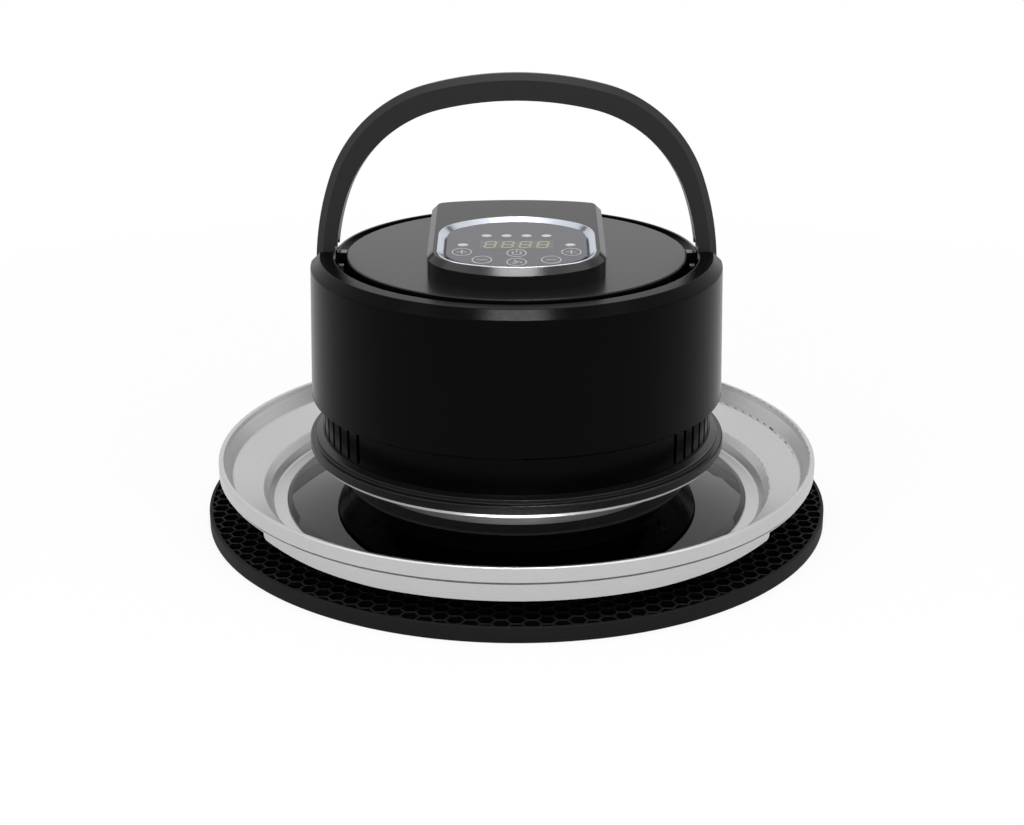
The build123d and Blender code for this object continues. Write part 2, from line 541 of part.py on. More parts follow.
def make_pod():
    """Pod shell, bright trim, tinted panel and the display, lamps and touch pads under it."""
    shell = pod_block(0, 0, DISC_TOP)
    top_edges = [edge for edge in shell.edges() if edge.center().Z > 168.0 and
                 abs(POD_FACE.to_local_coords(edge.center()).Z) < 0.02]
    shell = chamfer(top_edges, POD_BEVEL)
    shell = shell - pod_block(POD_WALL, POD_WALL + 2.2, DISC_TOP - 1.0)
    shell = shell - on_pod(panel_outline(0), -PANEL_RECESS - PANEL_GLASS - 0.2, 6.0)
    shell = shell - on_pod(panel_outline(TRIM_WIDTH + 1.5), -12.0, 6.0)
    keep("pod_body", shell)

    outer = panel_outline(0.1)
    trim = on_pod(outer, -PANEL_RECESS - PANEL_GLASS, 0.25)
    trim = chamfer([edge for edge in trim.edges() if edge_height(edge) > 0.2], 0.24)
    top, bottom = 0.26, -PANEL_RECESS - PANEL_GLASS - 0.01
    spread = degrees(atan((TRIM_WIDTH - 1.0) / (top - bottom)))
    hollow = POD_FACE.offset(top) * extrude(panel_outline(1.0), bottom - top, taper=spread)
    keep("pod_trim", trim - hollow)
    keep("panel_glass", on_pod(panel_outline(TRIM_WIDTH + 0.3), 0.1 - PANEL_RECESS - PANEL_GLASS,
                               -PANEL_RECESS))

    under = -PANEL_RECESS - PANEL_GLASS
    display_centre = (DISPLAY_Y - POD_FRONT - POD_BEVEL) / cos(POD_SLOPE)
    window = Pos(0, display_centre, 0) * Rectangle(42.0, 13.0)
    keep("display_module", on_pod(window, under - 5.0, under))
    lamps = [(-17.2 + 11.45 * k, -24.1) for k in range(4)] + [(-30.5, -38.3), (30.5, -38.3)]
    keep("indicator_lamps", *[pod_disc(x, y, 2.6, under - 3.0, under) for x, y in lamps])
    pads = [(side * 30.8, -49.3) for side in (-1, 1)] + [(side * 19.3, -61.0) for side in (-1, 1)]
    pads += [(0, -50.9), (0, -64.3)]
    keep("touch_pads", *[pod_disc(x, y, 3.6, under - 3.0, under) for x, y in pads])
    keep("control_board", on_pod(panel_outline(TRIM_WIDTH + 2.2), under - 6.8, under - 5.2))


def edge_height(edge):
    """How far an edge's middle lies over the pod's sloping top."""
    return POD_FACE.to_local_coords(edge.center()).Z


# ---------------------------------------------------------------- handle and safety switch
def shoulder_centre(arch):
    """Centre of the shoulder arc, which is tangent inside the leg arc and the top arc."""
    top_y = arch.height - arch.top
    to_leg = arch.leg - arch.shoulder
    to_top = arch.top - arch.shoulder
    across, up = arch.foot - arch.leg, -top_y
    gap = sqrt(across ** 2 + up ** 2)
    along = (to_top ** 2 - to_leg ** 2 + gap ** 2) / (2 * gap)
    height = sqrt(to_top ** 2 - along ** 2)
    ux, uy = across / gap, up / gap
    return along * ux + height * uy, top_y + along * uy - height * ux


def under_arch(arch):
    """A face in the XZ plane between the hinge line and one edge of the bail."""
    sx, sy = shoulder_centre(arch)
    leg_x = arch.foot - arch.leg
    top_y = arch.height - arch.top
    first = degrees(atan2(sy, sx - leg_x))
    second = degrees(atan2(sy - top_y, sx))
    leg = CenterArc((leg_x, 0), arch.leg, 0, first)
    shoulder = CenterArc((sx, sy), arch.shoulder, first, second - first)
    top = CenterArc((0, top_y), arch.top, second, 180 - 2 * second)
    far_shoulder = CenterArc((-sx, sy), arch.shoulder, 180 - second, second - first)
    far_leg = CenterArc((-leg_x, 0), arch.leg, 180 - first, first)
    floor = Line((-arch.foot, 0), (arch.foot, 0))
    return Plane.XZ * make_face([leg, shoulder, top, far_shoulder, far_leg, floor])


def handle_place():
    """Where the upright handle goes: leaning back on its hinge."""
    return Pos(0, HINGE_Y, HINGE_Z) * Rot(-BAIL_LEAN, 0, 0)


def make_handle():
    """Bail handle, its hinge pins, and the bushes and blocks that they turn in."""
    bail = extrude(under_arch(BAIL_OUTSIDE), BAIL_DEPTH / 2, both=True)
    bail = bail - extrude(under_arch(BAIL_INSIDE), BAIL_DEPTH, both=True)
    round_edges = bail.edges().filter_by(GeomType.CIRCLE)
    front = [edge for edge in round_edges if abs(edge.center().Y + BAIL_DEPTH / 2) < 0.01
             and any(abs(edge.radius - radius) < 0.01 for radius in BAIL_OUTSIDE[1:4])]
    bail = chamfer(front, BAIL_CHAMFER)
    outside = BAIL_OUTSIDE.foot
    for side in (-1, 1):
        low, high = sorted((side * LEG_INSIDE, side * outside))
        bail = bail - cross_rod(*sorted((side * 95.0, side * LEG_INSIDE)), 0, 0, RELIEF_RADIUS)
        foot = cross_rod(low, high, 0, 0, BAIL_DEPTH / 2)
        rim = [edge for edge in foot.edges().filter_by(GeomType.CIRCLE)
               if abs(abs(edge.center().X) - outside) < 0.01]
        bail = bail + chamfer(rim, BAIL_CHAMFER)
    bail = bail - cross_rod(-outside + 2.0, outside - 2.0, 0, 0, PIN_RADIUS)
    keep("handle_bail", handle_place() * bail)

    end = outside - 2.1
    pins = [cross_rod(*sorted((side * inner, side * end)), HINGE_Y, HINGE_Z, PIN_RADIUS)
            for side, inner in ((-1, 90.5), (1, CAM_X - 4.0))]
    keep("hinge_pins", *pins)

    blocks = []
    bushes = []
    bore = PIN_RADIUS + RUNNING
    for side in (-1, 1):
        span = sorted((side * BLOCK_X, side * (BLOCK_X + 10.5)))
        bush = cross_rod(*span, HINGE_Y, HINGE_Z, BUSH_RADIUS)
        blocks.append(block(span, (3.0, 18.0), (141.0, SHELF_TOP - 1.5)) - bush)
        bushes.append(bush - cross_rod(*span, HINGE_Y, HINGE_Z, bore))
    keep("hinge_blocks", *blocks)
    keep("hinge_bushes", *bushes)


def cam_radius(angle):
    """Radius of the cam at an angle in degrees from straight down towards the back, at rest."""
    return CAM_BASE + CAM_RISE * radians(angle)


def make_switch():
    """Cam on the right hinge pin, and the plunger switch that it presses as the handle folds."""
    steps = [-30 + 10 * k for k in range(15)]
    rising = [(cam_radius(a) * sin(radians(a)), -cam_radius(a) * cos(radians(a))) for a in steps]
    curve = Spline(*rising)
    first, last = rising[0], rising[-1]
    back = ThreePointArc(last, (-4.2, 4.2), first)
    face = make_face([Plane.YZ * curve, Plane.YZ * back])
    cam = extrude(face, 2.5, both=True) - cross_rod(-5.0, 5.0, 0, 0, PIN_RADIUS)
    keep("switch_cam", Pos(CAM_X, HINGE_Y, HINGE_Z) * cam)

    contact = sqrt(CAM_BASE ** 2 + CAM_RISE ** 2) + CAM_RISE * 0.21
    top = HINGE_Z - contact - 0.1
    stem = rod(CAM_X, HINGE_Y, top - 17.0, top, PLUNGER_RADIUS)
    keep("switch_plunger", stem + rod(CAM_X, HINGE_Y, top - 2.0, top, 3.4))
    body_top = top - 8.5
    plate_x = (BLOCK_X - 1.5, BLOCK_X)
    case = block((CAM_X - 4.5, plate_x[0]), (HINGE_Y - 7.5, HINGE_Y + 7.5), (body_top - 14.0, body_top))
    keep("interlock_switch", case - rod(CAM_X, HINGE_Y, body_top - 12.5, body_top, PLUNGER_RADIUS + RUNNING))
    coil = Pos(CAM_X, HINGE_Y, body_top) * ring(PLUNGER_RADIUS + 0.3, PLUNGER_RADIUS + 1.1, 0.0, 6.4)
    keep("plunger_spring", coil)
    plate = block(plate_x, (HINGE_Y - 7.5, HINGE_Y + 7.5), (body_top - 14.0, SHELF_TOP - 1.5))
    relief = cross_rod(*plate_x, HINGE_Y, HINGE_Z, PIN_RADIUS + 0.8)
    keep("switch_bracket", plate - relief)


def main():
    """Builds every node and writes it to its own file."""
    for make in (make_mat, make_adapter, make_base, make_heater, make_motor, make_drum, make_top,
                 make_electronics, make_pod, make_handle, make_switch):
        make()
    os.makedirs("parts", exist_ok=True)
    for name, shape in PARTS.items():
        export_step(shape, f"parts/{name}.step")


main()
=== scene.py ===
"""Looks of an air-frying lid set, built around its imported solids: a honeycomb silicone mat, a stainless
and glass adapter lid, and a heater head with a control pod and a folding bail handle."""

import json
import logging
from dataclasses import dataclass
from enum import Enum
from math import cos, hypot, pi, radians, sin, sqrt, tan
from typing import Any, Iterable

import bmesh
import bpy
from mathutils import Matrix, Vector


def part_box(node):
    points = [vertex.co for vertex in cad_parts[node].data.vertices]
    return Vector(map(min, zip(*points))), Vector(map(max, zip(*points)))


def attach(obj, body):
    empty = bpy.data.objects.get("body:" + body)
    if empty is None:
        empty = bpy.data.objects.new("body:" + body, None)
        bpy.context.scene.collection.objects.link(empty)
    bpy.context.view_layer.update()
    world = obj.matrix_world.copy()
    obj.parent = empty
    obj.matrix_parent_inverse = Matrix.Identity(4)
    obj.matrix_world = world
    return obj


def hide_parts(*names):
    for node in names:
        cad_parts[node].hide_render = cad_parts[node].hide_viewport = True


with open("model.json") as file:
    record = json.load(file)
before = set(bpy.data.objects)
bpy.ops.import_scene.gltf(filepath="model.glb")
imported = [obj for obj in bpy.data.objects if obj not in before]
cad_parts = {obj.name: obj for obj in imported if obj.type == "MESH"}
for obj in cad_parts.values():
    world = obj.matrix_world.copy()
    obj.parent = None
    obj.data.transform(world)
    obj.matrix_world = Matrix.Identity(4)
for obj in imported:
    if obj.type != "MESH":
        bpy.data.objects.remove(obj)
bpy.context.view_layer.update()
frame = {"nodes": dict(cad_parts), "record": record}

LOG = logging.getLogger("lid_set")
MM = 0.001
SMOOTH_BELOW = radians(30.0)   # edges that turn by less are shaded smooth
PATCHES_PER_METRE = 22.0       # faint patches of tone, about 45 mm wide
NOISE_SPREAD = (0.3, 0.7)      # where a noise pattern has nearly all its values
BRUSHED_STRETCH = 0.02         # width of a brushed mark, as a share of its length


# ------------------------------------------------------------------ small tools
def linear(code: str) -> tuple[float, float, float, float]:
    """Turns an sRGB hex colour into linear red, green, blue and alpha.

    Args:
        code: A colour such as "#2b2c2e".

    Returns:
        The four linear values, with alpha 1.
    """
    values = [int(code[i:i + 2], 16) / 255 for i in (1, 3, 5)]
    red, green, blue = [v / 12.92 if v <= 0.04045 else ((v + 0.055) / 1.055) ** 2.4 for v in values]
    return red, green, blue, 1.0


def add_node(tree: bpy.types.NodeTree, kind: str, inputs: dict[Any, Any] | None = None,
             **settings: Any) -> bpy.types.Node:
    """Adds a node with its settings, and fills or links its inputs.

    Args:
        tree: The node tree that gets the node.
        kind: The node's class name without "ShaderNode".
        inputs: Values or output sockets by input name or number.
        settings: Attributes of the node.

    Returns:
        The new node.
    """
    made = tree.nodes.new("ShaderNode" + kind)
    for name, value in settings.items():
        setattr(made, name, value)
    for name, value in (inputs or {}).items():
        if isinstance(value, bpy.types.NodeSocket):
            tree.links.new(value, made.inputs[name])
        else:
            made.inputs[name].default_value = value
    return made


def finished(name: str, bm: bmesh.types.BMesh, body: str, material: bpy.types.Material,
             replaces: Iterable[str] = ()) -> bpy.types.Object:
    """Turns a bmesh into a piece that rides on a body.

    Args:
        name: The piece's name.
        bm: Its mesh, in metres in the shared frame; it is freed.
        body: The CAD body that it rides on.
        material: Its material.
        replaces: CAD nodes that it stands for.

    Returns:
        The piece.
    """
    mesh = bpy.data.meshes.new(name)
    for face in bm.faces:
        face.smooth = True
    for edge in bm.edges:
        if len(edge.link_faces) == 2:
            edge.smooth = edge.calc_face_angle(pi) < SMOOTH_BELOW
    bm.to_mesh(mesh)
    bm.free()
    mesh.materials.append(material)
    piece = bpy.data.objects.new(name, mesh)
    bpy.context.scene.collection.objects.link(piece)
    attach(piece, body)
    if replaces:
        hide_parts(*replaces)
    LOG.info("%s: %d faces, rides on %s", name, len(mesh.polygons), body)
    return piece


# ------------------------------------------------------------------ finishes
class Grain(Enum):
    """How the fine marks of a surface run."""

    CLOUDY = "cloudy"
    SPUN = "spun"
    BRUSHED = "brushed"


@dataclass(frozen=True)
class Finish:
    """A surface: what it is made of, its colour and gloss, and its fine marks."""

    name: str
    colour: str
    roughness: float
    metallic: float = 0.0
    ior: float = 1.5
    specular: float = 0.5
    transmission: float = 0.0
    grain: Grain = Grain.CLOUDY
    grain_mm: float = 0.6      # how wide a mark is
    depth_mm: float = 0.01     # how deep it is
    uneven: float = 0.05       # how far the roughness strays
    tone: float = 0.06         # how far the colour strays, as a share

    def coordinates(self, tree: bpy.types.NodeTree) -> bpy.types.NodeSocket:
        """The place that the marks are read at, in marks rather than metres.

        Args:
            tree: The material's node tree.

        Returns:
            A vector socket.
        """
        place = add_node(tree, "TexCoord").outputs["Object"]
        if self.grain is Grain.SPUN:
            parts = add_node(tree, "SeparateXYZ", {"Vector": place})
            flat = add_node(tree, "CombineXYZ", {"X": parts.outputs["X"], "Y": parts.outputs["Y"]})
            radius = add_node(tree, "VectorMath", {0: flat.outputs["Vector"]}, operation="LENGTH")
            rings = add_node(tree, "CombineXYZ", {"X": radius.outputs["Value"], "Y": parts.outputs["Z"]})
            place = rings.outputs["Vector"]
        per_metre = 1 / (self.grain_mm * MM)
        along = per_metre * (BRUSHED_STRETCH if self.grain is Grain.BRUSHED else 1.0)
        scaled = add_node(tree, "Mapping", {"Vector": place, "Scale": (along, per_metre, per_metre)})
        return scaled.outputs["Vector"]

    def build(self) -> bpy.types.Material:
        """Makes the material, once.

        Returns:
            The material of this finish.
        """
        known = bpy.data.materials.get(self.name)
        if known:
            return known
        material = bpy.data.materials.new(self.name)
        material.use_nodes = True
        tree = material.node_tree
        shader = tree.nodes["Principled BSDF"]
        marks = add_node(tree, "TexNoise", {"Vector": self.coordinates(tree), "Scale": 1.0, "Detail": 3.0,
                                            "Roughness": 0.55})
        place = add_node(tree, "TexCoord").outputs["Object"]
        patches = add_node(tree, "TexNoise", {"Vector": place, "Scale": PATCHES_PER_METRE, "Detail": 2.0})
        base = linear(self.colour)
        dark = (*[c * (1 - self.tone) for c in base[:3]], 1.0)
        light = (*[min(c * (1 + self.tone), 1.0) for c in base[:3]], 1.0)
        blend = add_node(tree, "Mix", {"Factor": patches.outputs["Fac"], "A": dark, "B": light},
                         data_type="RGBA")
        tree.links.new(blend.outputs["Result"], shader.inputs["Base Color"])
        low, high = NOISE_SPREAD
        gloss = add_node(tree, "MapRange", {"Value": marks.outputs["Fac"], "From Min": low, "From Max": high,
                                            "To Min": max(self.roughness - self.uneven, 0.0),
                                            "To Max": self.roughness + self.uneven})
        tree.links.new(gloss.outputs["Result"], shader.inputs["Roughness"])
        bump = add_node(tree, "Bump", {"Height": marks.outputs["Fac"], "Distance": self.depth_mm * MM,
                                       "Strength": 1.0})
        tree.links.new(bump.outputs["Normal"], shader.inputs["Normal"])
        for socket, value in (("Metallic", self.metallic), ("IOR", self.ior),
                              ("Specular IOR Level", self.specular),
                              ("Transmission Weight", self.transmission)):
            shader.inputs[socket].default_value = value
        return material


# Moulded silicone rubber is matt with a soft bloom and no clear reflection.
SILICONE = Finish("silicone_moulded", "#19191a", 0.6, ior=1.41, specular=0.12, grain_mm=0.5, depth_mm=0.02)
# Down in the cells the same silicone is painted darker: painted shade for the shadow deep inside the cells.
SILICONE_PAINTED_SHADE = Finish("silicone_cell_painted_shade", "#060606", 0.7, ior=1.41, specular=0.1, grain_mm=0.5,
                       depth_mm=0.02)
# Extruded rubber seals are dull and dark grey.
SEAL = Finish("rubber_seal", "#1c1c1c", 0.6, grain_mm=0.5)
# Stainless steel spun on a lathe has fine rings that smear a reflection across them.
SPUN_STEEL = Finish("stainless_spun", "#bebebe", 0.3, 1.0, grain=Grain.SPUN, grain_mm=0.2, depth_mm=0.0005,
                    uneven=0.04, tone=0.01)
# Polished stainless shows its surroundings almost clearly.
POLISHED_STEEL = Finish("stainless_polished", "#c2c2c1", 0.14, 1.0, grain=Grain.SPUN, grain_mm=0.3,
                        depth_mm=0.001, uneven=0.04, tone=0.02)
# Smoked soda-lime glass, toughened: a clear skin over a dark body.
SMOKED_GLASS = Finish("glass_toughened_smoked", "#101212", 0.02, transmission=1.0, ior=1.46, grain_mm=40.0,
                      depth_mm=0.0, uneven=0.0, tone=0.0)
# Black polypropylene with a fine spark-eroded texture: dark face-on and grey at a glancing look.
SATIN_BLACK = Finish("polypropylene_satin", "#08080a", 0.22, ior=1.49, specular=0.42, grain_mm=0.35,
                     depth_mm=0.002)
# The parts round the heat are glass-filled and duller.
HEATPROOF_BLACK = Finish("polyamide_glass_filled", "#060607", 0.3, specular=0.24, grain_mm=0.4,
                         depth_mm=0.004)
# Glossy ABS for the drum: deep black with a faint clear reflection.
GLOSS_BLACK = Finish("abs_gloss", "#030304", 0.2, ior=1.45, specular=0.055, grain_mm=1.5, depth_mm=0.001,
                     uneven=0.03)
# Satin nylon for the handle: a soft grey sheen along its round edges.
HANDLE_BLACK = Finish("nylon_satin", "#131314", 0.36, specular=0.3, grain_mm=0.35, depth_mm=0.004)
# Acrylic tinted in the mass: grey-violet, with a clear reflection.
PANEL_TINT = Finish("acrylic_smoked_panel", "#4a4850", 0.12, ior=1.49, grain_mm=4.0, depth_mm=0.0,
                    uneven=0.01, tone=0.02)
# The same acrylic, paler where the display shows through.
WINDOW = Finish("acrylic_display_window", "#59575a", 0.2, ior=1.49, grain_mm=4.0, depth_mm=0.0, uneven=0.01,
                tone=0.02)
# Satin chrome on ABS is a cool, blurred mirror.
TRIM = Finish("abs_satin_chromed", "#c3c8d2", 0.22, 1.0, grain_mm=0.5, depth_mm=0.001, uneven=0.03, tone=0.02)
# Frosted polycarbonate spreads its light: pale and even.
LENS = Finish("polycarbonate_lens", "#bdbdba", 0.3, grain_mm=0.6, depth_mm=0.002)
# White ink that is screen printed lies flat and matt.
PRINT = Finish("ink_printed", "#b4b4b2", 0.4, grain_mm=0.5, depth_mm=0.001)
# Unlit epoxy strokes stay straw grey in the potted black display.
SEGMENT = Finish("segment_unlit", "#95957a", 0.35, grain_mm=0.5, depth_mm=0.001)
DISPLAY = Finish("display_module", "#2c2d22", 0.3, grain_mm=0.8)
# Zinc plate on pressed steel and screws is pale and patchy.
ZINC = Finish("steel_zinc_plated", "#b4b8bb", 0.35, 1.0, grain_mm=1.2, depth_mm=0.004, uneven=0.08)
# Heat leaves the element's drawn steel sheath brown-grey.
SHEATH = Finish("steel_heat_darkened", "#6a6460", 0.42, 1.0, grain_mm=1.0, depth_mm=0.01, uneven=0.08)
# Pressed mica board is straw coloured, with flakes that differ in tone.
MICA = Finish("mica_pressed", "#b7ab96", 0.6, grain_mm=1.4, depth_mm=0.05, tone=0.15)
# Stamped aluminium keeps the long fine lines of the rolled sheet.
ALUMINIUM = Finish("aluminium_stamped", "#c9cacc", 0.34, 1.0, grain=Grain.BRUSHED, grain_mm=0.3,
                   depth_mm=0.003)
# Moulded glass-filled nylon is charcoal and slightly rough.
FAN_NYLON = Finish("nylon_glass_filled", "#26272a", 0.5, grain_mm=0.4, depth_mm=0.01)
# Varnished windings are warm and ridged, turn by turn.
COPPER = Finish("copper_varnished", "#b06a3c", 0.3, 1.0, grain=Grain.SPUN, grain_mm=0.6, depth_mm=0.05,
                uneven=0.08)
# Stacked steel laminations show as fine level lines.
LAMINATION = Finish("steel_laminations", "#5c5f66", 0.4, 1.0, grain=Grain.SPUN, grain_mm=0.5, depth_mm=0.03)
# Solder mask is a green lacquer with a soft gloss.
BOARD = Finish("board_solder_mask", "#1d5a3a", 0.35, grain_mm=1.0, depth_mm=0.01, tone=0.12)
# Undyed nylon is milky and faintly glossy.
PALE_PLASTIC = Finish("nylon_natural", "#c6c5bf", 0.45, grain_mm=0.5, depth_mm=0.008)
# Braided glass-fibre sleeving is dull and off-white.
WIRE = Finish("fibreglass_sleeving", "#b8b6b0", 0.7, grain_mm=0.8, depth_mm=0.08, tone=0.12)
# Drawn spring wire is bright and smooth.
SPRING = Finish("steel_spring_drawn", "#b0b3b8", 0.25, 1.0, grain_mm=0.5, depth_mm=0.002)

SLOT_FINISHES: dict[str, Finish] = {
    "silicone": SILICONE, "stainless": SPUN_STEEL, "polished_steel": POLISHED_STEEL,
    "tempered_glass": SMOKED_GLASS, "seal_rubber": SEAL, "black_plastic": SATIN_BLACK,
    "gloss_black": GLOSS_BLACK, "handle_plastic": HANDLE_BLACK, "panel_tint": PANEL_TINT,
    "bright_trim": TRIM, "lamp_lens": LENS, "display": DISPLAY, "galvanised": ZINC,
    "heater_sheath": SHEATH, "mica": MICA, "cast_fan": ALUMINIUM, "fan_plastic": FAN_NYLON,
    "copper": COPPER, "lamination": LAMINATION, "board": BOARD, "parts_plastic": PALE_PLASTIC,
    "wire": WIRE, "spring_steel": SPRING,
}
# Nodes whose finish isn't that of the rest of their slot.
NODE_FINISHES: dict[str, Finish] = {"flange_ring": HEATPROOF_BLACK, "vent_skirt": GLOSS_BLACK,
                                    "top_disc": HEATPROOF_BLACK}


def dress_nodes() -> None:
    """Gives every CAD node its own finish, or that of its slot in the record."""
    for entry in frame["record"]["subparts"]:
        piece = frame["nodes"][entry["node"]]
        finish = NODE_FINISHES.get(entry["node"], SLOT_FINISHES[entry["material_slot"]])
        piece.data.materials.clear()
        piece.data.materials.append(finish.build())


# ------------------------------------------------------------------ mat
@dataclass
class HoneycombMat:
    """Silicone mat with a field of open hexagonal cells inside a plain rim."""

    pitch: float = 9.35 * MM            # from the middle of a cell to that of the next
    wall: float = 1.2 * MM
    rim: float = 1.5 * MM
    floor: float = 1.4 * MM
    soft_edge: float = 0.22 * MM        # bevel round a cell's mouth
    rounding: float = 0.7 * MM          # round of the mat's upper edge
    rounding_steps: int = 4
    foot: float = 0.3 * MM              # bevel of its lower edge
    rim_sides: int = 180
    smallest_cell: float = 0.22         # share of a whole cell that is still sunk at the rim
    on_cut: float = 0.0001 * MM         # corners this near a cut lie on it
    shared_corner: float = 0.12 * MM    # corners that are nearer are one
    shortest_edge: float = 0.72 * MM    # shorter edges that the rim leaves are closed up

    def sheet(self, radius: float, height: float) -> bmesh.types.BMesh:
        """Makes a flat sheet of hexagons and trims it round.

        Args:
            radius: The trimmed sheet's radius.
            height: The sheet's height.

        Returns:
            The sheet, as a bmesh.
        """
        bm = bmesh.new()
        side = self.pitch / sqrt(3)
        count = int(radius / (1.5 * side)) + 2
        for column in range(-count, count + 1):
            x = column * 1.5 * side
            shift = self.pitch / 2 if column % 2 else 0.0
            for row in range(-count, count + 1):
                y = row * self.pitch + shift
                if hypot(x, y) < radius + side:
                    place = Matrix.Translation((x, y, height)) @ Matrix.Rotation(pi / 6, 4, "Z")
                    bmesh.ops.create_circle(bm, cap_ends=True, segments=6, radius=side, matrix=place)
        bmesh.ops.remove_doubles(bm, verts=bm.verts, dist=self.shared_corner)
        for step in range(self.rim_sides):
            turn = 2 * pi * step / self.rim_sides
            away = Vector((cos(turn), sin(turn), 0.0))
            near = [face for face in bm.faces
                    if face.calc_center_median().dot(away) > radius - 2 * self.pitch]
            parts = {part for face in near for part in (face, *face.edges, *face.verts)}
            bmesh.ops.bisect_plane(bm, geom=list(parts), plane_co=away * radius, plane_no=away,
                                   clear_outer=True, dist=self.on_cut)
        bmesh.ops.remove_doubles(bm, verts=bm.verts, dist=self.shortest_edge)
        self.to_circle([edge for edge in bm.edges if edge.is_boundary], radius)
        return bm

    def to_circle(self, edges: Iterable[bmesh.types.BMEdge], radius: float,
                  height: float | None = None) -> None:
        """Moves the corners of edges onto a circle round the mat's middle.

        Args:
            edges: The edges.
            radius: The circle's radius.
            height: Its height, or None to leave the corners at theirs.
        """
        for corner in {corner for edge in edges for corner in edge.verts}:
            corner.co.xy = corner.co.xy.normalized() * radius
            if height is not None:
                corner.co.z = height

    def sink_cells(self, bm: bmesh.types.BMesh, depth: float) -> None:
        """Sinks every cell that is large enough, and leaves ribs with softened edges between them.

        Args:
            bm: The sheet of hexagons, whose faces look up.
            depth: How deep the cells are.
        """
        whole = sqrt(3) / 2 * self.pitch ** 2
        cells = [face for face in bm.faces if face.calc_area() > self.smallest_cell * whole]
        bmesh.ops.inset_individual(bm, faces=cells, thickness=self.wall / 2 - self.soft_edge,
                                   use_even_offset=True)
        bmesh.ops.inset_individual(bm, faces=cells, thickness=self.soft_edge, depth=-self.soft_edge,
                                   use_even_offset=True)
        sunk = bmesh.ops.extrude_discrete_faces(bm, faces=cells)["faces"]
        corners = {corner for face in sunk for corner in face.verts}
        bmesh.ops.translate(bm, verts=list(corners), vec=(0.0, 0.0, self.soft_edge - depth))

    def close(self, bm: bmesh.types.BMesh, outside: float, top: float) -> None:
        """Carries the sheet's edge out over the rim, down the side and under the mat.

        Args:
            bm: The sheet, whose edge is round.
            outside: The mat's radius.
            top: The mat's thickness.
        """
        edges = [edge for edge in bm.edges if edge.is_boundary]
        bend = self.rounding
        turns = [pi / 2 * step / self.rounding_steps for step in range(self.rounding_steps + 1)]
        profile = [(outside - bend + bend * sin(turn), top - bend + bend * cos(turn)) for turn in turns]
        for radius, height in (*profile, (outside, self.foot), (outside - self.foot, 0.0)):
            grown = bmesh.ops.extrude_edge_only(bm, edges=edges)["geom"]
            edges = [part for part in grown if isinstance(part, bmesh.types.BMEdge)]
            self.to_circle(edges, radius, height)
        bmesh.ops.contextual_create(bm, geom=edges)

    def build(self) -> bpy.types.Object:
        """Builds the mat in the place of its plain solid.

        Returns:
            The mat.
        """
        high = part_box("silicone_mat")[1]
        bm = self.sheet(high.x - self.rim, high.z)
        self.sink_cells(bm, high.z - self.floor)
        self.close(bm, high.x, high.z)
        bmesh.ops.recalc_face_normals(bm, faces=bm.faces)
        mouth = high.z - 2 * self.soft_edge
        # Faces down inside the cells, below their softened mouths, take the second material, the darker copy
        # of the silicone that is painted shade.
        for face in bm.faces:
            middle = face.calc_center_median()
            face.material_index = int(hypot(middle.x, middle.y) < high.x - self.rim and 0 < middle.z < mouth)
        mat = finished("honeycomb_mat", bm, "base", SILICONE.build(), ["silicone_mat"])
        # The second material: the silicone darkened as painted shade inside the cells.
        mat.data.materials.append(SILICONE_PAINTED_SHADE.build())
        return mat


# ------------------------------------------------------------------ control panel
class Icon(Enum):
    """The mark inside a touch key's ring."""

    PLUS = "plus"
    MINUS = "minus"
    POWER = "power"
    FAN = "fan"


